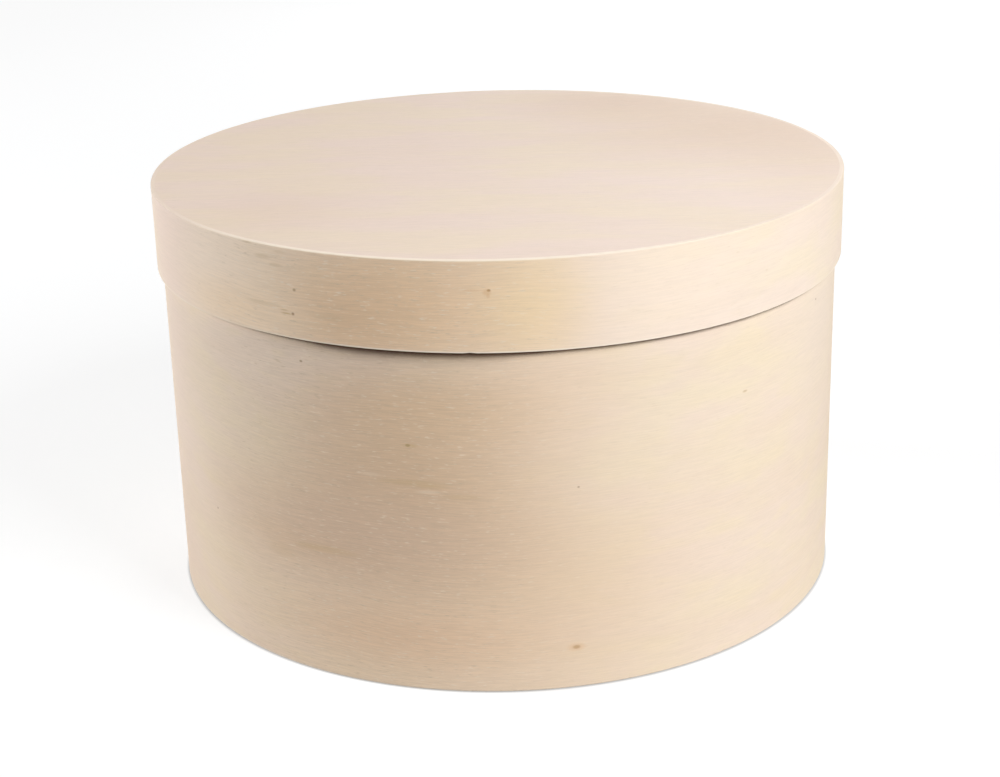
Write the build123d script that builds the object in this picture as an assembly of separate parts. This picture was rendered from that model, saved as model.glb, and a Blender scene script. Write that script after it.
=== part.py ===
from build123d import *

import math
import os

# A round bentwood box with a telescoping lift-off lid.
# Millimetres. +Z is up, the origin is the centre of the face that the box stands on,
# the front faces -Y, and both bent bands close in a glued and stapled lap at the back, +Y.

# Whole box
lid_diameter = 236.0
overall_height = 142.0
rim_height = 28.5

# Bent bands: the lid's rim slides over the body's wall
rim_thickness = 1.5
wall_thickness = 1.8
lid_clearance = 0.4

# Flat discs, glued inside the bands and flush with their outer edges
lid_panel_thickness = 3.0
floor_thickness = 3.0
glue_line = 0.1

# Edges: the one that shows on each band is sanded round, the others are just broken
sanded_round = 0.6
band_edge_break = 0.2
disc_edge_break = 0.3

# Scarfed lap that closes a band: both ends are bevelled to a thin tip and glued
lap_length = 34.0
lap_tip = 0.35
lap_glue_line = 0.15
back_angle = 90.0

# Wire staples through the lap, pressed flush on both faces and clinched inside
wire_thickness = 0.45
wire_width = 0.9
crown_length = 9.5
clinch_gap = 1.6
rim_staple_margin = 7.0
wall_staple_margin = 13.0
rim_staple_count = 2
wall_staple_count = 4

# How far a cutting shape runs past the face that it cuts
overrun = 1.0

# Radii and heights that follow
rim_outer_radius = lid_diameter / 2
rim_inner_radius = rim_outer_radius - rim_thickness
wall_outer_radius = rim_inner_radius - lid_clearance
wall_inner_radius = wall_outer_radius - wall_thickness
lid_underside = overall_height - lid_panel_thickness
wall_height = lid_underside
rim_bottom = overall_height - rim_height


def polar(radius, angle):
    """A point on the plan at this radius and angle in degrees."""
    turn = math.radians(angle)
    return (radius * math.cos(turn), radius * math.sin(turn))


def arc_degrees(length, radius):
    """The angle that a length takes along an arc."""
    return math.degrees(length / radius)


def band_section(inner, outer, bottom, top, sanded_end):
    """A band's section on the XZ plane. Its outer corner at the sanded end, which is its
    top or its bottom, is rounded over."""
    corners = [(inner, bottom), (outer, bottom), (outer, top), (inner, top)]
    section = make_face(Plane.XZ * Polyline(*corners, close=True))
    for x, z in corners:
        corner = section.vertices().sort_by_distance((x, 0, z))[0]
        if (x, z) == (outer, sanded_end):
            section = fillet(corner, sanded_round)
        else:
            section = chamfer(corner, band_edge_break)
    return section


def ring(section):
    """A closed ring turned from a section."""
    return revolve(section, Axis.Z, 360)


def lap_slit(inner, outer, bottom, top):
    """The glue line between a band's two bevelled ends: a slot that starts square at the
    outer face, runs at a slant through the thickness, and ends square at the inner face."""
    middle = (inner + outer) / 2
    half_lap = arc_degrees(lap_length, middle) / 2
    outer_angle = back_angle + half_lap
    inner_angle = back_angle - half_lap
    mouth = polar(outer + overrun, outer_angle)
    upper_tip = polar(outer - lap_tip, outer_angle)
    crossing = polar(middle, back_angle)
    lower_tip = polar(inner + lap_tip, inner_angle)
    exit_point = polar(inner - overrun, inner_angle)
    path = Line(mouth, upper_tip)
    path += ThreePointArc(upper_tip, crossing, lower_tip)
    path += Line(lower_tip, exit_point)
    slot = trace(path, lap_glue_line)
    return Pos(0, 0, bottom - overrun) * extrude(slot, top - bottom + 2 * overrun)


def sector(inner, outer, start, end):
    """A plan-view piece of a ring between two radii and two angles."""
    half = (start + end) / 2
    outline = ThreePointArc(polar(outer, start), polar(outer, half), polar(outer, end))
    outline += Line(polar(outer, end), polar(inner, end))
    outline += ThreePointArc(polar(inner, end), polar(inner, half), polar(inner, start))
    outline += Line(polar(inner, start), polar(outer, start))
    return make_face(outline)


def staple(inner, outer, height):
    """A wire staple closed round a band's thickness, flush with both of its faces. The
    crown lies outside, and the two clinched points face each other inside."""
    half_crown = arc_degrees(crown_length, outer) / 2
    half_gap = arc_degrees(clinch_gap, inner) / 2
    half_core = half_crown - arc_degrees(wire_thickness, outer)
    loop = sector(inner, outer, back_angle - half_crown, back_angle + half_crown)
    core = sector(
        inner + wire_thickness,
        outer - wire_thickness,
        back_angle - half_core,
        back_angle + half_core,
    )
    middle = (inner + outer) / 2
    gap = sector(inner - overrun, middle, back_angle - half_gap, back_angle + half_gap)
    wire = loop - core - gap
    return Pos(0, 0, height - wire_width / 2) * extrude(wire, wire_width)


def staple_row(inner, outer, bottom, top, margin, count):
    """Staples spread evenly up a band's lap."""
    step = (top - bottom - 2 * margin) / max(count - 1, 1)
    return [staple(inner, outer, bottom + margin + i * step) for i in range(count)]


def bent_band(section, inner, outer, bottom, top, staples):
    """A veneer strip bent into a ring, open along its glue line and let in for staples."""
    band = ring(section) - lap_slit(inner, outer, bottom, top)
    for wire in staples:
        band -= wire
    return band


def disc(radius, bottom, top):
    """A flat disc with both edges broken."""
    blank = Pos(0, 0, bottom) * extrude(Circle(radius), top - bottom)
    return chamfer(blank.edges().filter_by(GeomType.CIRCLE), disc_edge_break)


def lid_parts():
    """The lid: its disc, the rim bent round it and the rim's staples."""
    bounds = (rim_inner_radius, rim_outer_radius, rim_bottom, overall_height)
    section = band_section(*bounds, overall_height)
    # The staples keep clear of the disc
    wires = staple_row(
        rim_inner_radius,
        rim_outer_radius,
        rim_bottom,
        lid_underside,
        rim_staple_margin,
        rim_staple_count,
    )
    return {
        "lid_panel": disc(rim_inner_radius - glue_line, lid_underside, overall_height),
        "lid_rim": bent_band(section, *bounds, wires),
        "lid_rim_staples": Compound(children=wires),
    }


def body_parts():
    """The body: its floor disc, the wall bent round it and the wall's staples."""
    bounds = (wall_inner_radius, wall_outer_radius, 0, wall_height)
    section = band_section(*bounds, 0)
    wires = staple_row(
        wall_inner_radius,
        wall_outer_radius,
        0,
        wall_height,
        wall_staple_margin,
        wall_staple_count,
    )
    return {
        "body_floor": disc(wall_inner_radius - glue_line, 0, floor_thickness),
        "body_wall": bent_band(section, *bounds, wires),
        "body_wall_staples": Compound(children=wires),
    }


os.makedirs("parts", exist_ok=True)
for name, shape in {**lid_parts(), **body_parts()}.items():
    export_step(shape, f"parts/{name}.step")
    print(name, len(shape.solids()), "solids", round(shape.volume, 1), "mm3")
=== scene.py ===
import math

import bpy
import numpy as np
from mathutils import Matrix, Vector


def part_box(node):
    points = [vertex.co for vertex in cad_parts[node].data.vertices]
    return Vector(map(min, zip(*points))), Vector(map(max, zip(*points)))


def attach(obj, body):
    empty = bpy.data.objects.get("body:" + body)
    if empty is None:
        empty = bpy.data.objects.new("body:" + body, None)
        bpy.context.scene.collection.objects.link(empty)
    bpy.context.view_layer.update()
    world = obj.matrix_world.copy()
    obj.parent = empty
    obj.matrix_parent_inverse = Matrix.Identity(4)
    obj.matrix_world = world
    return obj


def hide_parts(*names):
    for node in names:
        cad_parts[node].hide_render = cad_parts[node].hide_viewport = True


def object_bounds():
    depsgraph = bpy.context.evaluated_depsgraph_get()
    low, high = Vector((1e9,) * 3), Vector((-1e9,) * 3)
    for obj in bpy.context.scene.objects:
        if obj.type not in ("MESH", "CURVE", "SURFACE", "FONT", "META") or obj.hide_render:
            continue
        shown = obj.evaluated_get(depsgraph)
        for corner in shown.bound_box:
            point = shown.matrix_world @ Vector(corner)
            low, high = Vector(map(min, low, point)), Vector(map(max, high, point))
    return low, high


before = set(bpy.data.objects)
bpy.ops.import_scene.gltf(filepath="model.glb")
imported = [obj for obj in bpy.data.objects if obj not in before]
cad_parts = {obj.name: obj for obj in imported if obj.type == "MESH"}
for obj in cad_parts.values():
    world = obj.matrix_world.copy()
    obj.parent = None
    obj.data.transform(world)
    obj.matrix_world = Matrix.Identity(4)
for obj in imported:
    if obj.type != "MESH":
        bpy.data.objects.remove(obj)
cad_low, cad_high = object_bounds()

# A round bentwood box with a lift-off lid, dressed over its CAD frame. Metres, +Z up, the
# front faces -Y and the bands' laps are at the back. A front angle is in degrees to the
# right of the front.

MM = 0.001

# Sizes that the frame gives
rim_low, rim_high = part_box("lid_rim")
wall_low, wall_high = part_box("body_wall")
panel_low, panel_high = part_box("lid_panel")
floor_low, floor_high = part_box("body_floor")
GLUE_LINE = 0.1 * MM
RIM_OUTER = rim_high.x
RIM_INNER = panel_high.x + GLUE_LINE
WALL_OUTER = wall_high.x
WALL_INNER = floor_high.x + GLUE_LINE

# The lap that closes each band
LAP_LENGTH = 34 * MM
LAP_TIP = 0.35 * MM
LAP_STEP = 0.14 * MM
LAP_SHOULDER = 0.25 * MM
LAP_RAGGED = 0.3 * MM
BACK_ANGLE = 90.0
FRONT_ANGLE = -90.0

# Corners of the bands and discs. What is sanded flush in one go keeps nearly sharp edges.
RIM_ROUND = 0.35 * MM
FOOT_ROUND = 0.5 * MM
BROKEN_EDGE = 0.2 * MM
SAWN_EDGE = 0.08 * MM
FLUSH_EDGE = 0.05 * MM
EDGE_FADE = 0.3 * MM

# A corner takes at most this share of the band's thickness
CORNER_SHARE = 0.45

# How far real veneer strays from a true ring, and a sawn edge from a straight line. The
# wandering edge fades out over a share of the band's height.
WAVE = 0.05 * MM
EDGE_WOBBLE = 0.12 * MM
WOBBLE_SHARE = 0.35

# How far a disc's top dips, how far in from its edge it does so in full, the length that
# makes a radian of its waves, and what divides their slant
PANEL_WAVE = 0.05 * MM
PANEL_WAVE_FADE = 12 * MM
PANEL_WAVE_LENGTH = 40 * MM
PANEL_WAVE_SLANT = 0.9

# A small chip in the rim's lower edge: front angle, half width and depth, and how far up
# the band it fades out
RIM_CHIP = (-4.8, 1.2 * MM, 0.35 * MM)
CHIP_FADE = 1.2 * MM

# Wire staples, as the frame has them
CROWN_LENGTH = 9.5 * MM
CLINCH_GAP = 1.6 * MM

# Points at least this far apart in height are on different staples
STAPLE_SPACE = 3 * MM

# The dent that each makes: its depth, half the height that is flat, the slope beyond that, a
# level on the slope that has points too, and the slope at the crown's ends
DENT_DEPTH = 0.16 * MM
DENT_HALF_HEIGHT = 0.45 * MM
DENT_SLOPE = 0.65 * MM
DENT_SLOPE_MIDDLE = 0.8 * MM
DENT_END_SLOPE = 0.6 * MM
# How far past a lap a point still counts as on it, in radians
LAP_MARGIN = 0.01

# Spacing of a band's points: up it, round it, and round it at the staples. Lengths are in
# metres and turns in degrees.
ROW_STEP = 5 * MM
TURN_STEP = 1.0
STAPLE_TURN_STEP = 0.25
STAPLE_TURN = 5.0

# Points close together at a strip's tips, and steps round a corner and round a disc
TIP_REACH = 1.5 * MM
TIP_POINTS = 8
CORNER_STEPS = 6
DISC_CORNER_STEPS = 5
DISC_STEPS = 384
DISC_RINGS = 40

# The end grain at a strip's outer tip shows pale
TIP_PALE_REACH = 1.2 * MM
TIP_PALENESS = 0.5

# The height that makes a radian of the ragged outer tip's waves
RAGGED_HEIGHT = 30 * MM

# The photograph's frame and the camera fitted to its outlines
IMAGE_WIDTH = 1000
SENSOR = 36.0
FOCAL_PIXELS = 1994.0
CAMERA_DISTANCE = 0.6911
CAMERA_ELEVATION = 13.896
CAMERA_ROLL = -1.4744
AIM_RIGHT = -0.0009
AIM_BELOW_TOP = 0.0834
CLIP_NEAR, CLIP_FAR = 0.01, 50


def make_camera():
    """A camera at the photograph's viewpoint, aimed below the centre of the lid."""
    top = Vector((0, 0, cad_high.z))
    tilt = math.radians(CAMERA_ELEVATION)
    place = top + CAMERA_DISTANCE * Vector((0, -math.cos(tilt), math.sin(tilt)))
    aim = top + Vector((AIM_RIGHT, 0, -AIM_BELOW_TOP))
    forward = (aim - place).normalized()
    right = forward.cross(Vector((0, 0, 1))).normalized()
    up = right.cross(forward)
    roll = math.radians(CAMERA_ROLL)
    across = math.cos(roll) * right + math.sin(roll) * up
    upward = math.cos(roll) * up - math.sin(roll) * right
    data = bpy.data.cameras.new("camera")
    data.sensor_width = SENSOR
    data.lens = FOCAL_PIXELS / IMAGE_WIDTH * SENSOR
    data.clip_start = CLIP_NEAR
    data.clip_end = CLIP_FAR
    camera = bpy.data.objects.new("camera", data)
    bpy.context.scene.collection.objects.link(camera)
    turned = Matrix((across, upward, -forward)).transposed().to_4x4()
    camera.matrix_world = Matrix.Translation(place) @ turned
    bpy.context.scene.camera = camera


# Colours


def srgb(red, green, blue):
    """A linear RGBA colour from 0 to 255 display values."""
    shares = [c / 255 for c in (red, green, blue)]
    linear = [s / 12.92 if s <= 0.04045 else ((s + 0.055) / 1.055) ** 2.4 for s in shares]
    return (*linear, 1.0)


def tinted(color, red, green, blue):
    """A colour with each channel scaled."""
    return (color[0] * red, color[1] * green, color[2] * blue, 1.0)


# Node trees


class Tree:
    """Short calls that build one material's node tree. A value is a socket or a number."""

    def __init__(self, name):
        self.material = bpy.data.materials.new(name)
        self.start(self.material)

    def start(self, owner):
        owner.use_nodes = True
        self.tree = owner.node_tree
        self.tree.nodes.clear()

    def node(self, kind, inputs=(), **settings):
        made = self.tree.nodes.new(kind)
        for key, value in settings.items():
            setattr(made, key, value)
        for key, value in dict(inputs).items():
            self.feed(made.inputs[key], value)
        return made

    def feed(self, socket, value):
        if isinstance(value, bpy.types.NodeSocket):
            self.tree.links.new(value, socket)
        else:
            socket.default_value = value

    def math(self, operation, a, b=0.0, c=0.0):
        return self.node("ShaderNodeMath", {0: a, 1: b, 2: c}, operation=operation).outputs[0]

    def vector(self, operation, a, b=(0, 0, 0)):
        return self.node("ShaderNodeVectorMath", {0: a, 1: b}, operation=operation).outputs

    def scaled(self, vector, scale, offset=(0, 0, 0)):
        inputs = {"Vector": vector, "Scale": scale, "Location": offset}
        return self.node("ShaderNodeMapping", inputs).outputs[0]

    def noise(self, vector, detail=2.0, roughness=0.5):
        inputs = {"Vector": vector, "Scale": 1.0, "Detail": detail, "Roughness": roughness}
        return self.node("ShaderNodeTexNoise", inputs).outputs["Fac"]

    def ranged(self, value, low, high, to_low=0.0, to_high=1.0):
        inputs = {0: value, 1: low, 2: high, 3: to_low, 4: to_high}
        made = self.node("ShaderNodeMapRange", inputs, interpolation_type="SMOOTHSTEP")
        return made.outputs[0]

    def mix(self, share, a, b, blend="MIX"):
        made = self.node("ShaderNodeMix", data_type="RGBA", blend_type=blend)
        self.feed(made.inputs[0], share)
        self.feed(made.inputs[6], a)
        self.feed(made.inputs[7], b)
        return made.outputs[2]

    def attribute(self, name, output="Vector"):
        return self.node("ShaderNodeAttribute", attribute_name=name).outputs[output]

    def surface(self, color, roughness, height, distance, **sockets):
        """The shader and the output, with the bump from a height."""
        bump = self.node("ShaderNodeBump", {"Height": height, "Distance": distance})
        inputs = {"Base Color": color, "Roughness": roughness, "Normal": bump.outputs[0]}
        inputs.update({key.replace("_", " "): value for key, value in sockets.items()})
        shader = self.node("ShaderNodeBsdfPrincipled", inputs)
        self.node("ShaderNodeOutputMaterial", {"Surface": shader.outputs[0]})
        return self.material


# Wood

RIM_WOOD = srgb(243, 226, 206)
WALL_WOOD = srgb(240, 222, 200)
BOARD_WOOD = srgb(239, 219, 201)
# Pale wood for edges and flecks, and the colour of the painted highlights on the rim
PALE_WOOD_AND_HIGHLIGHT = srgb(255, 241, 223)
BROWN = srgb(146, 104, 66)
OLIVE = srgb(146, 112, 62)
ORANGE = srgb(226, 184, 136)
RUST = srgb(186, 138, 88)
STREAK = srgb(212, 186, 150)
HONEY = srgb(214, 184, 138)
# Zone colours. The pale ones are painted light, the deep and dusk ones painted shade, and the
# tan ones partly the wood's tone and partly painted shade.
RIM_PAINTED_LIGHT = srgb(252, 232, 211)
RIM_ROSE = srgb(244, 221, 207)
RIM_TAN_AND_SHADE = srgb(243, 210, 174)
RIM_PAINTED_SHADE = srgb(232, 200, 166)
RIM_HONEY = srgb(250, 224, 194)
RIM_STRAW = srgb(249, 221, 178)
WALL_YELLOW = srgb(241, 215, 188)
WALL_TAN_AND_SHADE = srgb(231, 201, 168)
WALL_PAINTED_SHADE = srgb(220, 189, 159)
WALL_ROSE = srgb(235, 214, 200)
WALL_ROSE_SHADE = srgb(228, 206, 187)
WALL_PAINTED_LIGHT = srgb(242, 225, 208)
WALL_DUSK_SHADE = srgb(226, 198, 173)
WALL_WARM = srgb(239, 208, 178)
BOARD_TAN_AND_SHADE = srgb(226, 200, 178)
PRESSED = srgb(150, 122, 96)
STEEL = srgb(138, 136, 132)
DULL_STEEL = srgb(118, 114, 108)

# Pin knots, stains, flecks and streaks on each band, and painted highlights along the rim's
# lower and top edges in front: front angle, height in mm, half length and half height in
# mm, colour and strength. Those in front are where the photograph shows them, and the few
# past 90 degrees are made up.
RIM_MARKS_AND_HIGHLIGHTS = (
    (-31.5, 129.1, 0.75, 0.6, OLIVE, 0.55),
    (-32.0, 121.4, 0.7, 0.6, BROWN, 0.65),
    (-33.2, 121.2, 2.6, 0.35, HONEY, 0.8),
    (-33.6, 122.2, 1.8, 0.3, HONEY, 0.6),
    (-1.9, 132.3, 1.6, 1.2, ORANGE, 0.5),
    (-1.7, 131.2, 0.7, 0.9, ORANGE, 0.4),
    (-4.0, 132.9, 3.8, 0.4, ORANGE, 0.3),
    (-1.6, 132.9, 0.7, 0.5, RUST, 0.75),
    (44.1, 126.7, 0.7, 0.5, STREAK, 0.2),
    (37.6, 135.3, 0.7, 0.4, STREAK, 0.15),
    (-40.3, 141.4, 2.5, 0.5, STREAK, 0.4),
    (-37.2, 138.0, 4.0, 0.9, STREAK, 0.35),
    (-34.7, 136.0, 3.0, 0.8, STREAK, 0.35),
    (-33.8, 140.3, 3.0, 0.6, STREAK, 0.3),
    (-37.3, 123.1, 9.0, 0.9, STREAK, 0.3),
    (-25.5, 121.9, 8.0, 1.2, STREAK, 0.2),
    (118.0, 124.0, 0.9, 0.6, BROWN, 0.7),
    (-141.0, 131.0, 1.0, 0.6, OLIVE, 0.7),
    # Painted highlights along the rim's lower edge and its top edge in front
    (-14.0, 113.6, 56.0, 0.55, PALE_WOOD_AND_HIGHLIGHT, 0.9),
    (10.0, 113.6, 62.0, 0.45, PALE_WOOD_AND_HIGHLIGHT, 0.7),
    (-8.0, 142.0, 104.0, 0.5, PALE_WOOD_AND_HIGHLIGHT, 0.65),
)
WALL_MARKS = (
    (-31.8, 105.8, 0.7, 0.45, OLIVE, 0.6),
    (-14.5, 82.8, 1.0, 0.55, OLIVE, 0.7),
    (-14.2, 82.7, 3.0, 0.8, HONEY, 0.5),
    (-54.9, 43.9, 0.45, 0.45, BROWN, 0.6),
    (10.5, 14.1, 1.5, 0.8, BROWN, 0.6),
    (10.5, 14.1, 3.4, 1.6, ORANGE, 0.4),
    (11.1, 68.4, 0.5, 0.4, BROWN, 0.5),
    (40.7, 88.4, 1.3, 0.5, STREAK, 0.8),
    (62.0, 107.1, 0.5, 0.45, BROWN, 0.6),
    (-33.0, 43.4, 7.0, 1.3, HONEY, 0.2),
    (-28.6, 43.9, 12.0, 1.5, HONEY, 0.3),
    (-38.2, 39.5, 7.0, 3.0, HONEY, 0.15),
    (-14.0, 70.5, 13.0, 1.3, HONEY, 0.35),
    (-11.0, 69.4, 6.0, 0.9, HONEY, 0.3),
    (-6.4, 66.5, 7.0, 1.0, HONEY, 0.25),
    (-11.6, 67.8, 5.0, 0.8, PALE_WOOD_AND_HIGHLIGHT, 0.25),
    (-20.7, 72.2, 4.5, 0.8, PALE_WOOD_AND_HIGHLIGHT, 0.2),
    (96.0, 60.0, 1.0, 0.7, BROWN, 0.75),
    (134.0, 92.0, 0.9, 0.6, OLIVE, 0.8),
    (-118.0, 71.0, 1.2, 0.7, BROWN, 0.8),
    (-150.0, 30.0, 9.0, 1.2, STREAK, 0.5),
)

# Broad tan, straw, pale and pinkish zones, given as the marks are. They are partly the
# wood's tone and partly painted light and shade: paler where the lamps light the bands
# most, darker where less light falls, as at the left of the front and low at the left.
RIM_TONE_AND_LIGHT_ZONES = (
    (-47.0, 128.0, 42.0, 60.0, RIM_PAINTED_LIGHT, 1.0),
    (-66.0, 128.0, 34.0, 60.0, RIM_ROSE, 0.8),
    (-13.0, 128.0, 68.0, 40.0, RIM_TAN_AND_SHADE, 0.95),
    (-22.0, 122.0, 30.0, 22.0, RIM_PAINTED_SHADE, 0.8),
    (-43.0, 119.0, 36.0, 13.0, RIM_HONEY, 0.9),
    (22.0, 130.0, 40.0, 40.0, RIM_PAINTED_LIGHT, 0.55),
    (4.5, 127.0, 22.0, 28.0, RIM_STRAW, 0.65),
    (104.0, 126.0, 80.0, 40.0, RIM_TAN_AND_SHADE, 0.2),
    (-128.0, 122.0, 70.0, 40.0, RIM_TAN_AND_SHADE, 0.2),
)
WALL_TONE_AND_LIGHT_ZONES = (
    (-14.0, 34.0, 110.0, 76.0, WALL_YELLOW, 1.0),
    (3.0, 100.0, 44.0, 34.0, WALL_YELLOW, 0.9),
    (-12.0, 70.0, 52.0, 46.0, WALL_TAN_AND_SHADE, 0.85),
    (-32.0, 45.0, 34.0, 8.0, WALL_TAN_AND_SHADE, 0.6),
    (4.0, 34.0, 56.0, 40.0, WALL_TAN_AND_SHADE, 0.35),
    (-20.0, 78.0, 48.0, 46.0, WALL_PAINTED_SHADE, 0.45),
    (-12.0, 94.0, 44.0, 16.0, WALL_TAN_AND_SHADE, 0.8),
    (-23.0, 51.0, 76.0, 25.0, WALL_DUSK_SHADE, 0.85),
    (-15.0, 18.0, 54.0, 15.0, WALL_WARM, 0.95),
    (-70.0, 90.0, 32.0, 60.0, WALL_ROSE, 0.8),
    (-76.0, 14.0, 40.0, 64.0, WALL_ROSE_SHADE, 0.95),
    (68.0, 92.0, 44.0, 52.0, WALL_PAINTED_LIGHT, 0.7),
    (100.0, 74.0, 110.0, 50.0, WALL_TAN_AND_SHADE, 0.25),
    (-122.0, 40.0, 90.0, 44.0, WALL_TAN_AND_SHADE, 0.25),
)
# The same on the lid, partly the board's tone and partly painted shade: how far right, back
# and up from the middle of the foot each zone lies and its half sizes that way, all in mm,
# then colour and strength
LID_TONE_AND_SHADE_ZONES = (
    (95.0, 45.0, 142.0, 90.0, 80.0, 10.0, BOARD_TAN_AND_SHADE, 0.9),
    (52.0, 92.0, 142.0, 58.0, 46.0, 10.0, BOARD_TAN_AND_SHADE, 0.85),
    (108.0, 0.0, 142.0, 36.0, 90.0, 10.0, BOARD_TAN_AND_SHADE, 0.4),
    (-72.0, -58.0, 142.0, 36.0, 36.0, 10.0, BOARD_TAN_AND_SHADE, 0.3),
)

# The share of a zone and of a mark that has the full strength, and where its soft edge ends
ZONE_CORE, MARK_CORE = 0.0, 0.35
OVAL_END = 1.15

# The shade close under the lid's edge deepens what the light alone gives. It is wide at one
# place in front, and thin on from there until it ends. Half lengths along the wall.
SHADE_TINT = (0.11, 0.065, 0.05, 1.0)
SHADE_ANGLE = 7.0
SHADE_REACH = (84 * MM, 108 * MM)
WIDE_SHADE_ANGLE = -12.0
WIDE_SHADE_REACH = (18 * MM, 50 * MM)
# How far off a surface still counts as close, and the height above which the shade may lie
SHADE_DISTANCE = 6 * MM
SHADE_HEIGHT = 90 * MM
# The shade is full where the wall is less open than the first number and gone where it is
# more open than the second
THIN_OPENNESS = (0.72, 0.8)
WIDE_OPENNESS = (0.76, 0.99)
UNEVEN_OPENNESS = 0.04

# The grain is coarse at the left of the front and fine elsewhere, on a scale from 0 to 1
COARSE_ANGLE = -22.0
COARSE_REACH = (22 * MM, 76 * MM)
FINE_SHARE, COARSE_SHARE, BOARD_SHARE = 0.1, 0.85, 0.2

# Noise scales, in features per metre along the grain, across it and through the wood
FIBRE_SCALE = (120, 2500, 1200)
PORE_SCALE = (330, 2200, 1200)
FLECK_SCALE = (400, 2100, 1200)
CLOUD_SCALE = (20, 50, 30)
PATCH_SCALE = (48, 120, 60)
STRIPE_SCALE = (5, 120, 60)
FIGURE_SCALE = (7, 95, 30)
EDGE_SCALE = (160, 0, 0)
SHADE_SCALE = (90, 0, 0)
# Where each noise starts to show and shows in full
PORE_RANGE = (0.6, 0.76)
FLECK_RANGE = (0.6, 0.78)
FIBRE_RANGE = (0.3, 0.7)
CLOUD_RANGE = (0.35, 0.65)
PINK_RANGE = (0.5, 0.72)
YELLOW_RANGE = (0.3, 0.5)
STRIPE_RANGE = (0.45, 0.75)
FIGURE_RANGE = (0.45, 0.8)
EDGE_RANGE = (0.3, 0.6)
HEIGHT_RANGE = (0.2, 0.8)
STAIN_RANGE = (0.45, 0.8)
SCRATCH_RANGE = (0.3, 0.7)
# How grain lines drift off level: noise scale and lift
BAND_DRIFT = ((14, 9, 9), 2.5 * MM)
BOARD_DRIFT = ((7, 5, 5), 8 * MM)

# Tints of the wood's own colour
PORE_TINT = (0.78, 0.73, 0.66)
FLECK_TINT = (1.06, 1.08, 1.12)
YELLOW_CLOUD = (1.0, 1.0, 0.96)
PINK_CLOUD = (1.0, 0.98, 1.02)
YELLOW_PATCH = (1.01, 1.01, 0.93)
PINK_PATCH = (0.98, 0.95, 0.98)
STRIPE_TINT = (0.95, 0.91, 0.85)
FIGURE_TINT = (0.96, 0.93, 0.89)

# The least that pores, flecks and fibre lines show, and what coarse grain adds
PORE_SHARE = (0.14, 0.6)
FLECK_SHARE = (0.18, 0.5)
LINE_SHARE = (0.4, 0.6)
# How dark and how light the fibre lines are, and how deep a pore is beside them
FIBRE_SHADE = (0.93, 1.04)
PORE_DEPTH = 0.7

# How much the small patches, the stripes and the figure show
RIM_MOTTLE, WALL_MOTTLE, BOARD_MOTTLE = 0.3, 0.5, 0.2
STRIPE_SHARE, FIGURE_SHARE = 0.25, 0.25

# How pale the edges are: least and most on a band, and on a disc
BAND_EDGE = (0.4, 0.8)
BOARD_EDGE = 0.2

# A band's top edge is sanded flat and looks as a disc does: how far below the top that look
# starts and is full, and its share
FLUSH_START, FLUSH_FULL = 0.12 * MM, 0.04 * MM
FLUSH_SHARE = 0.85

# Wood that a staple has pressed in
PRESSED_MARGIN = 0.5 * MM
PRESSED_SHARE = 0.45
PRESSED_CORE = 0.7

# Gloss and bump
WOOD_ROUGHNESS = (0.6, 0.72)
GRAIN_DEPTH = 0.02 * MM
BAND_GLOSS, BOARD_GLOSS = 0.22, 0.2
STEEL_ROUGHNESS = (0.4, 0.55)
SCRATCH_DEPTH = 0.01 * MM
SCRATCH_SCALE = (1500, 1500, 9000)
STAIN_SCALE = (900, 900, 900)


def by_coarseness(tree, coarse, least, added):
    """A share that grows with the grain's coarseness."""
    return tree.math("MULTIPLY_ADD", coarse, added, least)


def wood_grain(tree, vector, wood, color, coarse, seed):
    """Fine grain along X of the vector, in metres: fibres, short pores and pale flecks, more
    marked where coarse nears 1. Gives the colour and the height."""
    shift = (seed, 2 * seed, 3 * seed)
    fibre = tree.noise(tree.scaled(vector, FIBRE_SCALE, shift), 3, 0.6)
    pores = tree.noise(tree.scaled(vector, PORE_SCALE, shift), 2)
    flecks = tree.noise(tree.scaled(vector, FLECK_SCALE, (shift[2], seed, seed)), 1)
    dark = tree.ranged(pores, *PORE_RANGE)
    light = tree.ranged(flecks, *FLECK_RANGE)
    dark_share = tree.math("MULTIPLY", dark, by_coarseness(tree, coarse, *PORE_SHARE))
    light_share = tree.math("MULTIPLY", light, by_coarseness(tree, coarse, *FLECK_SHARE))
    color = tree.mix(dark_share, color, tinted(wood, *PORE_TINT))
    color = tree.mix(light_share, color, tinted(wood, *FLECK_TINT))
    lines = tree.ranged(fibre, *FIBRE_RANGE, *FIBRE_SHADE)
    shade = tree.node("ShaderNodeCombineColor", {0: lines, 1: lines, 2: lines})
    line_share = by_coarseness(tree, coarse, *LINE_SHARE)
    color = tree.mix(line_share, color, shade.outputs[0], "MULTIPLY")
    height = tree.math("MULTIPLY_ADD", dark, -PORE_DEPTH, fibre)
    return color, height


def wood_surface(tree, color, height, gloss):
    """The dull shader of sanded wood, with the grain's height as a fine bump."""
    rough = tree.ranged(height, *HEIGHT_RANGE, *WOOD_ROUGHNESS)
    return tree.surface(color, rough, height, GRAIN_DEPTH, Specular_IOR_Level=gloss)


def add_oval(tree, vector, color, centre, sizes, tint, strength, core):
    """Paints an oval patch with soft edges. core is the share of it that has the full
    strength."""
    away = tree.vector("SUBTRACT", vector, centre)[0]
    unit = tree.vector("DIVIDE", away, sizes)[0]
    length = tree.vector("LENGTH", unit)["Value"]
    return tree.mix(tree.ranged(length, core, OVAL_END, strength, 0.0), color, tint)


def along_band(front_angle, radius, start_angle):
    """How far along a band's strip a front angle lies."""
    return math.radians((FRONT_ANGLE + front_angle - start_angle) % 360) * radius


def add_marks(tree, vector, color, marks, radius, start_angle, core):
    """Paints marks at their places along and up a band."""
    for angle, height, half_length, half_height, tint, strength in marks:
        centre = (along_band(angle, radius, start_angle), height * MM, 0)
        sizes = (half_length * MM, half_height * MM, 1)
        color = add_oval(tree, vector, color, centre, sizes, tint, strength, core)
    return color


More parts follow.
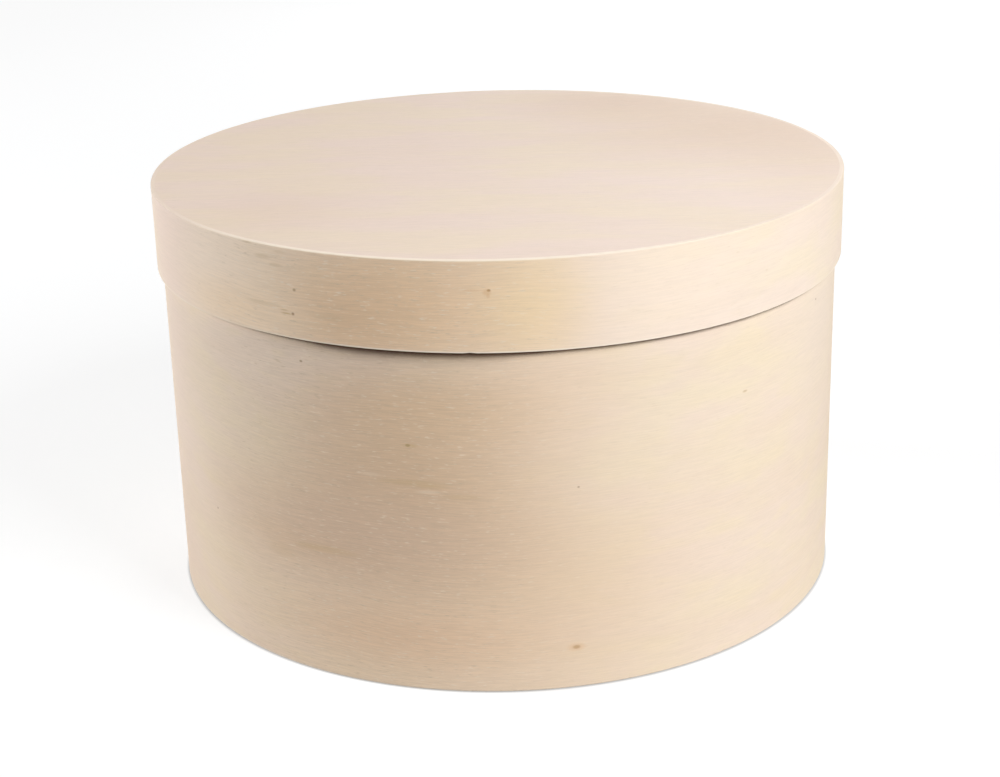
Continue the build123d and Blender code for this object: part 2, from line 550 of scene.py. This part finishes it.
def near_angle(tree, along, front_angle, reach, radius, start_angle):
    """1 round a front angle, and 0 past the second reach along the band."""
    away = tree.math("SUBTRACT", along, along_band(front_angle, radius, start_angle))
    return tree.ranged(tree.math("ABSOLUTE", away), *reach, 1.0, 0.0)


def add_shade(tree, grain, color, radius, start_angle):
    """Deepens the shade on the wall close under the lid's edge, wherever the lid is."""
    occlusion = tree.node("ShaderNodeAmbientOcclusion", {"Distance": SHADE_DISTANCE})
    apart = tree.node("ShaderNodeSeparateXYZ", {0: grain}).outputs
    band = (radius, start_angle)
    thin = near_angle(tree, apart[0], SHADE_ANGLE, SHADE_REACH, *band)
    wide = near_angle(tree, apart[0], WIDE_SHADE_ANGLE, WIDE_SHADE_REACH, *band)
    ends = zip(THIN_OPENNESS, WIDE_OPENNESS)
    low, high = (tree.math("MULTIPLY_ADD", wide, b - a, a) for a, b in ends)
    uneven = tree.noise(tree.scaled(grain, SHADE_SCALE), 3)
    openness = tree.math("MULTIPLY_ADD", uneven, UNEVEN_OPENNESS, occlusion.outputs["AO"])
    openness = tree.math("SUBTRACT", openness, UNEVEN_OPENNESS / 2)
    share = tree.math("MULTIPLY", tree.ranged(openness, low, high, 1.0, 0.0), thin)
    share = tree.math("MULTIPLY", share, tree.math("GREATER_THAN", apart[1], SHADE_HEIGHT))
    return tree.mix(share, color, tree.mix(1.0, color, SHADE_TINT, "MULTIPLY"))


def add_pressed_wood(tree, grain, color, radius, staples):
    """Darkens the wood that each staple has pressed in, at both ends of the strip."""
    sizes = (CROWN_LENGTH / 2 + PRESSED_MARGIN, DENT_HALF_HEIGHT + PRESSED_MARGIN, 1)
    look = (sizes, PRESSED, PRESSED_SHARE, PRESSED_CORE)
    for height in staples:
        for along in (LAP_LENGTH / 2, 2 * math.pi * radius + LAP_LENGTH / 2):
            color = add_oval(tree, grain, color, (along, height, 0), *look)
    return color


def drifted(tree, vector, scale, lift, seed):
    """The vector with its Y pushed up and down a little, so that grain lines aren't level."""
    drift = tree.noise(tree.scaled(vector, scale, (seed, 0, 0)), 2)
    up = tree.math("MULTIPLY_ADD", drift, 2 * lift, -lift)
    return tree.vector("ADD", vector, tree.node("ShaderNodeCombineXYZ", {1: up}).outputs[0])[0]


def mottled(tree, vector, wood, share, seed):
    """The wood's colour with soft yellowish and pinkish patches. share is how much of the
    smaller patches shows."""
    cloud = tree.noise(tree.scaled(vector, CLOUD_SCALE, (0, seed, 0)), 3)
    patch = tree.noise(tree.scaled(vector, PATCH_SCALE, (seed, seed, 0)), 2)
    yellow, pink = tinted(wood, *YELLOW_CLOUD), tinted(wood, *PINK_CLOUD)
    color = tree.mix(tree.ranged(cloud, *CLOUD_RANGE), yellow, pink)
    pink_share = tree.ranged(patch, *PINK_RANGE, 0.0, share)
    yellow_share = tree.ranged(patch, *YELLOW_RANGE, share, 0.0)
    color = tree.mix(pink_share, color, tinted(wood, *PINK_PATCH))
    return tree.mix(yellow_share, color, tinted(wood, *YELLOW_PATCH))


def veneer(name, wood, zones, marks, radius, top, start_angle, staples, seed, shaded):
    """Sanded bare veneer that follows a bent band by its "grain" attribute: how far along
    the strip, how high and how deep, in metres."""
    tree = Tree(name)
    grain = tree.attribute("grain")
    wavy = drifted(tree, grain, *BAND_DRIFT, seed)
    color = mottled(tree, grain, wood, WALL_MOTTLE if shaded else RIM_MOTTLE, seed)
    stripes = tree.noise(tree.scaled(wavy, STRIPE_SCALE, (0, 0, seed)), 3)
    stripe_share = tree.ranged(stripes, *STRIPE_RANGE, 0.0, STRIPE_SHARE)
    color = tree.mix(stripe_share, color, tinted(wood, *STRIPE_TINT))
    # The zones: partly the wood's tone, partly painted light and shade
    color = add_marks(tree, grain, color, zones, radius, start_angle, ZONE_CORE)
    apart = tree.node("ShaderNodeSeparateXYZ", {0: grain}).outputs
    near = near_angle(tree, apart[0], COARSE_ANGLE, COARSE_REACH, radius, start_angle)
    coarse = tree.math("MULTIPLY_ADD", near, COARSE_SHARE - FINE_SHARE, FINE_SHARE)
    color, height = wood_grain(tree, wavy, wood, color, coarse, seed)
    # The top edge has the colour of the board
    flush = tree.ranged(apart[1], top - FLUSH_START, top - FLUSH_FULL, 0.0, FLUSH_SHARE)
    color = tree.mix(flush, color, BOARD_WOOD)
    # The marks, among them painted highlights along the rim's edges
    color = add_marks(tree, grain, color, marks, radius, start_angle, MARK_CORE)
    color = add_pressed_wood(tree, grain, color, radius, staples)
    # Pale edges; on the rim's lower sawn edge this is partly a painted highlight
    patchy = tree.noise(tree.scaled(grain, EDGE_SCALE, (seed, 0, 0)), 2)
    paleness = tree.ranged(patchy, *EDGE_RANGE, *BAND_EDGE)
    edge = tree.math("MULTIPLY", tree.attribute("edge", "Fac"), paleness)
    color = tree.mix(edge, color, PALE_WOOD_AND_HIGHLIGHT)
    if shaded:
        color = add_shade(tree, grain, color, radius, start_angle)
    return wood_surface(tree, color, height, BAND_GLOSS)


def board(name, wood, zones, seed):
    """Sanded bare board with its grain left to right."""
    tree = Tree(name)
    place = tree.node("ShaderNodeTexCoord").outputs["Object"]
    wavy = drifted(tree, place, *BOARD_DRIFT, seed)
    color = mottled(tree, place, wood, BOARD_MOTTLE, seed)
    figure = tree.noise(tree.scaled(wavy, FIGURE_SCALE, (0, 0, seed)), 3)
    figure_share = tree.ranged(figure, *FIGURE_RANGE, 0.0, FIGURE_SHARE)
    color = tree.mix(figure_share, color, tinted(wood, *FIGURE_TINT))
    # The zones: partly the board's tone, partly painted shade
    for across, back, up, half_across, half_back, half_up, tint, strength in zones:
        centre = (across * MM, back * MM, up * MM)
        sizes = (half_across * MM, half_back * MM, half_up * MM)
        color = add_oval(tree, place, color, centre, sizes, tint, strength, ZONE_CORE)
    color, height = wood_grain(tree, wavy, wood, color, BOARD_SHARE, seed)
    edge = tree.attribute("edge", "Fac")
    color = tree.mix(tree.math("MULTIPLY", edge, BOARD_EDGE), color, PALE_WOOD_AND_HIGHLIGHT)
    return wood_surface(tree, color, height, BOARD_GLOSS)


def staple_steel():
    """Dull galvanised wire, rubbed by the sander."""
    tree = Tree("staple_steel")
    place = tree.node("ShaderNodeTexCoord").outputs["Object"]
    scratches = tree.noise(tree.scaled(place, SCRATCH_SCALE), 2)
    stain = tree.noise(tree.scaled(place, STAIN_SCALE), 3)
    color = tree.mix(tree.ranged(stain, *STAIN_RANGE), STEEL, DULL_STEEL)
    rough = tree.ranged(scratches, *SCRATCH_RANGE, *STEEL_ROUGHNESS)
    return tree.surface(color, rough, scratches, SCRATCH_DEPTH, Metallic=1.0)


# Meshes


def mesh_piece(name, points, faces, attributes, material):
    """An object from points, faces and per-point attributes, shaded smooth."""
    mesh = bpy.data.meshes.new(name)
    mesh.from_pydata(points.tolist(), [], faces)
    for key, values in attributes.items():
        kind = "FLOAT_VECTOR" if values.ndim == 2 else "FLOAT"
        layer = mesh.attributes.new(key, kind, "POINT")
        field = "vector" if values.ndim == 2 else "value"
        layer.data.foreach_set(field, values.astype(np.float32).ravel())
    mesh.materials.append(material)
    mesh.validate()
    mesh.shade_smooth()
    piece = bpy.data.objects.new(name, mesh)
    bpy.context.scene.collection.objects.link(piece)
    return piece


def ease(share):
    """0 to 1 with a soft start and stop."""
    share = np.clip(share, 0.0, 1.0)
    return share * share * (3 - 2 * share)


def waves(angle, height, seed, longest, count):
    """A smooth random curve round a ring, from -1 to 1, that changes a little with height.
    longest is the number of waves in a turn of the longest wave."""
    random = np.random.default_rng(seed)
    total = np.zeros(np.broadcast(angle, height).shape)
    size = 0.0
    most_lean = 25
    for k in range(count):
        turns = longest + k * (1 + k // 3)
        strength = 1 / (1 + 0.5 * k)
        phase, lean = random.uniform(0, 2 * math.pi), random.uniform(-most_lean, most_lean)
        total += strength * np.sin(turns * angle + phase + lean * height)
        size += strength
    return total / size


def corner_arc(steps):
    """Offsets, in corner radii, from a square outer corner to its rounding."""
    turns = np.linspace(0, math.pi / 2, steps)
    return [(math.cos(t) - 1, math.sin(t) - 1) for t in turns]


class Section:
    """The points round a band's section, from the middle of its bottom edge up the outer
    face to the middle of its top edge, and back down the inner face. For each point:
    thickness share, height share, corner offsets, corner radius and paleness. A corner is
    its radius and paleness."""

    def __init__(self, heights, outer_low, outer_high, inner_low, inner_high):
        outer = self.side(heights, outer_low, outer_high)
        inner = self.side(heights, inner_low, inner_high)
        mirrored = [(1 - w, h, -r, z, size, e) for w, h, r, z, size, e in inner]
        # The two middle points are shared
        rows = np.array(outer + mirrored[-2:0:-1])
        self.across, self.up, self.out, self.rise, self.radius, self.edge = rows.T
        self.count = len(rows)

    @staticmethod
    def side(heights, low, high):
        arc = corner_arc(CORNER_STEPS)
        rows = [(0.5, 0.0, 0.0, 0.0, *low)]
        rows += [(1.0, 0.0, r, -z, *low) for r, z in reversed(arc)]
        rows += [(1.0, h, 0.0, 0.0, 0.0, 0.0) for h in heights]
        rows += [(1.0, 1.0, r, z, *high) for r, z in arc]
        rows += [(0.5, 1.0, 0.0, 0.0, *high)]
        return rows


def face_heights(tall, corners, staples):
    """Shares of a band's height where its faces have points: evenly, just inside both
    corners, and closer together at each staple."""
    inside = max(radius for radius, paleness in corners) + EDGE_FADE
    even = np.arange(ROW_STEP, tall - ROW_STEP / 2, ROW_STEP)
    slope = DENT_HALF_HEIGHT + DENT_SLOPE
    above = (DENT_HALF_HEIGHT, DENT_SLOPE_MIDDLE, slope)
    dent = np.array((*(-level for level in above), 0, *above))
    heights = np.concatenate([(inside, tall - inside), even, *[s + dent for s in staples]])
    return np.unique(np.round(heights, 6)) / tall


def lap_angles(radius):
    """Where a band's strip starts and ends, and the lap's length, in radians."""
    lap = LAP_LENGTH / radius
    start = math.radians(BACK_ANGLE) - lap / 2
    return start, start + 2 * math.pi + lap, lap


def strip_angles(radius):
    """Angles along a strip, closer together at both tips and at the staples."""
    start, end, lap = lap_angles(radius)
    step = math.radians(TURN_STEP)
    fine = np.linspace(0, TIP_REACH / radius, TIP_POINTS)
    reach = math.radians(STAPLE_TURN)
    close = np.arange(-reach, reach, math.radians(STAPLE_TURN_STEP))
    angles = [
        np.arange(start + fine[-1] + step, end - fine[-1] - step / 2, step),
        start + fine,
        start + lap / 2 + close,
        start + lap + fine,
        end - lap - fine,
        end - lap / 2 + close,
        end - fine,
    ]
    return np.unique(np.round(np.concatenate(angles), 5))


def lapped_faces(around, sizes, radius):
    """Radii of a strip's outer and inner faces along it. Its first lap thins from inside
    the ring and its last lap thins over it, with the glue line between them."""
    inner, outer = sizes
    start, end, lap = lap_angles(radius)
    start_share = (around - start) / lap
    end_share = (around - (end - lap)) / lap
    full = outer - inner - 2 * LAP_TIP
    skin = outer - LAP_STEP * (1 - ease((around - start - lap) / math.pi))
    under = inner + LAP_TIP + full * start_share - GLUE_LINE / 2
    over = inner + LAP_TIP + full * end_share + GLUE_LINE / 2
    shoulder = LAP_SHOULDER / LAP_LENGTH
    face_out = under + (skin - under) * ease((start_share - 1) / shoulder)
    face_in = inner + (over - inner) * ease((end_share + shoulder) / shoulder)
    return face_out, face_in


def staple_dents(around, z, across, radius, staples):
    """How far the staples have pressed the wood in towards the middle of its thickness:
    under their crowns outside, and under their clinched points inside."""
    start, end, lap = lap_angles(radius)
    back = math.radians(BACK_ANGLE)
    along = np.abs((around - back + math.pi) % (2 * math.pi) - math.pi) * radius
    dents = 0
    for height in staples:
        level = ease((DENT_HALF_HEIGHT + DENT_SLOPE - np.abs(z - height)) / DENT_SLOPE)
        reach = ease((CROWN_LENGTH / 2 + DENT_END_SLOPE - along) / DENT_END_SLOPE)
        apart = ease((along - CLINCH_GAP / 2 + DENT_END_SLOPE / 2) / DENT_END_SLOPE)
        outside = (across == 1) & (around > end - lap - LAP_MARGIN)
        inside = (across == 0) & (around < start + lap + LAP_MARGIN)
        dents = dents + DENT_DEPTH * level * reach * (inside * apart - 1.0 * outside)
    return dents


def edge_chip(around, z, bottom, start, radius, chip):
    """How far a small chip lifts the band's lower edge."""
    front_angle, half_width, depth = chip
    turn = math.radians((FRONT_ANGLE + front_angle) - math.degrees(start)) % (2 * math.pi)
    away = np.abs(around - start - turn) * radius / half_width
    return depth * np.clip(1 - away, 0, 1) * ease(1 - (z - bottom) / CHIP_FADE)


def strip_faces(rows, count):
    """Quads round and along a strip of closed rings of points, and a cap at each end."""
    faces = []
    for j in range(rows - 1):
        a, b = j * count, (j + 1) * count
        for i in range(count):
            n = (i + 1) % count
            faces.append((a + i, a + n, b + n, b + i))
    last = (rows - 1) * count
    for i in range(count // 2):
        far, near = (count - i) % count, (count - i - 1) % count
        corners = dict.fromkeys((i, i + 1, near, far))
        faces.append(tuple(reversed(corners)))
        faces.append(tuple(last + v for v in corners))
    return faces


def bent_band(name, body, node, sizes, corners, staples, wobble, chip, wood, zones, marks, seed):
    """One veneer strip bent once round, with its thin outer end lapped over its start.
    sizes are the inner and outer radius and the bottom and top; corners are outside low and
    high, then inside."""
    inner, outer, bottom, top = sizes
    start, end, lap = lap_angles(outer)
    angles = strip_angles(outer)
    tall = top - bottom
    section = Section(face_heights(tall, corners, [s - bottom for s in staples]), *corners)
    around = angles[:, None]
    face_out, face_in = lapped_faces(around, (inner, outer), outer)
    radius = np.minimum(section.radius, CORNER_SHARE * (face_out - face_in))
    r = face_in + section.across * (face_out - face_in) + section.out * radius
    z = bottom + section.up * tall + section.rise * radius
    r = r + WAVE * (waves(around, z, seed, longest=2, count=7) - 1)
    # The lower edge wanders as a sawn one does
    low_share = ease(1 - (z - bottom) / (WOBBLE_SHARE * tall))
    wander = waves(around, 0 * z, seed + 1, longest=5, count=14)
    z = z + wobble * low_share * (0.5 + 0.5 * wander)
    if chip:
        z = z + edge_chip(around, z, bottom, start, outer, chip)
    r = r + staple_dents(around, z, section.across, outer, staples)
    # The outer tip isn't cut quite straight
    tip_share = ease((around - (end - lap)) / lap)
    ragged = waves(z / RAGGED_HEIGHT, 0, seed + 2, longest=3, count=9)
    turn = around + LAP_RAGGED / outer * ragged * tip_share
    points = np.stack([r * np.cos(turn), r * np.sin(turn), z], axis=-1)
    grain = np.stack([(around - start) * outer + 0 * r, z, r], axis=-1)
    tip = ease(1 - (end - around) * outer / TIP_PALE_REACH)
    edge = np.maximum(section.edge + 0 * r, TIP_PALENESS * tip * (section.across > 0.5))
    shaded = body == "base"
    turned = math.degrees(start)
    material = veneer(name, wood, zones, marks, outer, top, turned, staples, seed, shaded)
    attributes = {"grain": grain.reshape(-1, 3), "edge": edge.ravel()}
    faces = strip_faces(len(angles), section.count)
    piece = mesh_piece(name, points.reshape(-1, 3), faces, attributes, material)
    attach(piece, body)
    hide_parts(node)


def disc(name, body, node, low, high, zones, seed):
    """A flat disc in a node's box, glued into its band with the glue line filled, and with a
    top that is true to a few hundredths of a millimetre."""
    radius, bottom, top = high.x + GLUE_LINE, low.z, high.z
    rings = np.linspace(0, 1, DISC_RINGS)[1:] * (radius - FLUSH_EDGE)
    corner = reversed(corner_arc(DISC_CORNER_STEPS)[:-1])
    arc = [(radius + FLUSH_EDGE * o, FLUSH_EDGE * u) for o, u in corner]
    upper = [(r, top, 0.0) for r in rings] + [(r, top + u, 1.0) for r, u in arc]
    lower = [(r, bottom, 0.0) for r in rings] + [(r, bottom - u, 1.0) for r, u in arc]
    profile = np.array(upper + lower[::-1])
    turn = np.linspace(0, 2 * math.pi, DISC_STEPS, endpoint=False)[:, None]
    r, z, edge = (profile[:, k][None, :] + 0 * turn for k in range(3))
    x, y = r * np.cos(turn), r * np.sin(turn)
    inside = ease((radius - r) / PANEL_WAVE_FADE) * (z > (top + bottom) / 2)
    dip = waves(x / PANEL_WAVE_LENGTH, y / PANEL_WAVE_SLANT, seed, longest=1, count=5)
    z = z - PANEL_WAVE * inside * (0.5 + 0.5 * dip)
    points = np.stack([x, y, z], axis=-1).reshape(-1, 3)
    count = len(profile)
    centre_top, centre_bottom = len(points), len(points) + 1
    points = np.vstack([points, (0, 0, top - PANEL_WAVE / 2), (0, 0, bottom)])
    faces = []
    for j in range(DISC_STEPS):
        a, b = j * count, ((j + 1) % DISC_STEPS) * count
        faces += [(a + i, b + i, b + i + 1, a + i + 1) for i in range(count - 1)]
        faces.append((centre_top, b, a))
        faces.append((centre_bottom, a + count - 1, b + count - 1))
    edges = np.append(edge.ravel(), (0, 0))
    material = board(name, BOARD_WOOD, zones, seed)
    piece = mesh_piece(name, points, faces, {"edge": edges}, material)
    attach(piece, body)
    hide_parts(node)


# Light and surroundings

LAMP_TINT = (0.97, 1.0, 1.03)
AMBIENT_TINT = (1.08, 0.98, 0.86, 1.0)
WHITE = (1.0, 1.0, 1.0, 1.0)
# The world's strength above the horizon and below it, and the directions between them
WORLD_LEVEL = 0.1
UNDER_LEVEL = 0.55
HORIZON = (-0.1, 0.0)

# The floor: half its side and how far it lies below the box
FLOOR_HALF = 4.0
FLOOR_DROP = 0.2 * MM
FLOOR_COLOR = (0.3, 0.3, 0.3, 1.0)
# How brightly it glows where it is seen, the share of that right at the foot of the box, and
# how wide the thin shadow there is
FLOOR_GLOW = 0.75
CONTACT_SHARE = 0.4
CONTACT_WIDTH = 1.0 * MM
# Light that comes up off it, near the box and farther off, and the distances between them
NEAR_BOUNCE = 0.28
FAR_BOUNCE = 0.165
BOUNCE_REACH = (0.15, 0.3)
# Where it fades into the background, and the shortest ray that meets it
FADE_REACH = (0.6, 2.0)
SHORTEST_RAY = 1 * MM


def softbox(name, front_angle, elevation, distance, size, power):
    """A square lamp aimed at the middle of the box."""
    target = Vector((0, 0, cad_high.z / 2))
    turn, tilt = math.radians(FRONT_ANGLE + front_angle), math.radians(elevation)
    flat = math.cos(tilt)
    away = Vector((flat * math.cos(turn), flat * math.sin(turn), math.sin(tilt)))
    data = bpy.data.lights.new(name, "AREA")
    data.shape = "SQUARE"
    data.size = size
    data.energy = power
    data.color = LAMP_TINT
    lamp = bpy.data.objects.new(name, data)
    lamp.location = target + distance * away
    lamp.rotation_mode = "QUATERNION"
    lamp.rotation_quaternion = (-away).to_track_quat("-Z", "Y")
    bpy.context.scene.collection.objects.link(lamp)


def seen_directly(tree):
    """1 for rays that show a background: camera, glossy and transmission rays."""
    path = tree.node("ShaderNodeLightPath").outputs
    seen = tree.math("MAXIMUM", path["Is Camera Ray"], path["Is Glossy Ray"])
    return tree.math("MAXIMUM", seen, path["Is Transmission Ray"])


class WorldTree(Tree):
    def __init__(self, name):
        self.world = bpy.data.worlds.new(name)
        self.start(self.world)


def make_world():
    """Even light all round, more of it from below, where only the underside meets it, and
    white where the background is seen."""
    tree = WorldTree("studio")
    seen = seen_directly(tree)
    color = tree.mix(seen, AMBIENT_TINT, WHITE)
    direction = tree.node("ShaderNodeTexCoord").outputs["Generated"]
    rise = tree.node("ShaderNodeSeparateXYZ", {0: direction}).outputs[2]
    level = tree.ranged(rise, *HORIZON, UNDER_LEVEL, WORLD_LEVEL)
    strength = tree.math("MULTIPLY_ADD", seen, tree.math("SUBTRACT", 1.0, level), level)
    background = tree.node("ShaderNodeBackground", {"Color": color, "Strength": strength})
    tree.node("ShaderNodeOutputWorld", {"Surface": background.outputs[0]})
    bpy.context.scene.world = tree.world


def make_floor():
    """A pale floor that keeps the box's shadow, fades into the white background, and is
    clear from below."""
    tree = Tree("floor")
    place = tree.node("ShaderNodeTexCoord").outputs["Object"]
    length = tree.vector("LENGTH", place)["Value"]
    seen = seen_directly(tree)
    foot = (WALL_OUTER - FOOT_ROUND, WALL_OUTER + CONTACT_WIDTH)
    glow = tree.math("MULTIPLY", tree.ranged(length, *foot, CONTACT_SHARE, 1.0), FLOOR_GLOW)
    bounce = tree.ranged(length, *BOUNCE_REACH, NEAR_BOUNCE, FAR_BOUNCE)
    strength = tree.math("MULTIPLY_ADD", seen, tree.math("SUBTRACT", glow, bounce), bounce)
    color = tree.mix(seen, AMBIENT_TINT, WHITE)
    lit = tree.node("ShaderNodeBsdfDiffuse", {"Color": FLOOR_COLOR}).outputs[0]
    shine = tree.node("ShaderNodeEmission", {"Color": color, "Strength": strength}).outputs[0]
    near = tree.node("ShaderNodeAddShader", {0: lit, 1: shine}).outputs[0]
    far = tree.node("ShaderNodeEmission", {"Color": WHITE, "Strength": seen}).outputs[0]
    fade = tree.ranged(length, *FADE_REACH)
    shown = tree.node("ShaderNodeMixShader", {0: fade, 1: near, 2: far}).outputs[0]
    clear = tree.node("ShaderNodeBsdfTransparent").outputs[0]
    back = tree.node("ShaderNodeNewGeometry").outputs["Backfacing"]
    ray_length = tree.node("ShaderNodeLightPath").outputs["Ray Length"]
    hidden = tree.math("MAXIMUM", back, tree.math("LESS_THAN", ray_length, SHORTEST_RAY))
    whole = tree.node("ShaderNodeMixShader", {0: hidden, 1: shown, 2: clear}).outputs[0]
    tree.node("ShaderNodeOutputMaterial", {"Surface": whole})
    sides = ((-1, -1), (1, -1), (1, 1), (-1, 1))
    corners = np.array([(x * FLOOR_HALF, y * FLOOR_HALF, -FLOOR_DROP) for x, y in sides])
    mesh_piece("floor", corners, [(0, 1, 2, 3)], {}, tree.material)


# The object


def staple_heights(node):
    """The heights of a node's staples, from its points."""
    heights = np.sort([v.co.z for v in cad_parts[node].data.vertices])
    groups = np.split(heights, np.where(np.diff(heights) > STAPLE_SPACE)[0] + 1)
    return [float((g[0] + g[-1]) / 2) for g in groups]


make_camera()

bent_band(
    "rim_veneer",
    "lid",
    "lid_rim",
    sizes=(RIM_INNER, RIM_OUTER, rim_low.z, rim_high.z),
    # The rim's lower sawn edge is pale, partly its own colour and partly a painted highlight
    corners=((SAWN_EDGE, 0.9), (RIM_ROUND, 0.0), (BROKEN_EDGE, 0.5), (FLUSH_EDGE, 0.0)),
    staples=staple_heights("lid_rim_staples"),
    wobble=EDGE_WOBBLE,
    chip=RIM_CHIP,
    wood=RIM_WOOD,
    zones=RIM_TONE_AND_LIGHT_ZONES,
    marks=RIM_MARKS_AND_HIGHLIGHTS,
    seed=11,
)
bent_band(
    "wall_veneer",
    "base",
    "body_wall",
    sizes=(WALL_INNER, WALL_OUTER, wall_low.z, wall_high.z),
    corners=((FOOT_ROUND, 0.5), (BROKEN_EDGE, 0.5), (FLUSH_EDGE, 0.5), (BROKEN_EDGE, 0.5)),
    staples=staple_heights("body_wall_staples"),
    wobble=0.0,
    chip=None,
    wood=WALL_WOOD,
    zones=WALL_TONE_AND_LIGHT_ZONES,
    marks=WALL_MARKS,
    seed=23,
)
disc("lid_board", "lid", "lid_panel", panel_low, panel_high, zones=LID_TONE_AND_SHADE_ZONES, seed=37)
disc("floor_board", "base", "body_floor", floor_low, floor_high, zones=(), seed=41)

steel = staple_steel()
for name in ("lid_rim_staples", "body_wall_staples"):
    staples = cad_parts[name].data
    staples.materials.clear()
    staples.materials.append(steel)

softbox("key", front_angle=44.5, elevation=35.5, distance=1.3, size=0.6, power=15.8)
softbox("left_fill", front_angle=-98, elevation=20, distance=1.6, size=0.6, power=17.8)
softbox("back_fill", front_angle=165, elevation=16, distance=1.4, size=0.6, power=6)
make_world()
make_floor()

bpy.context.scene.view_settings.view_transform = "Standard"
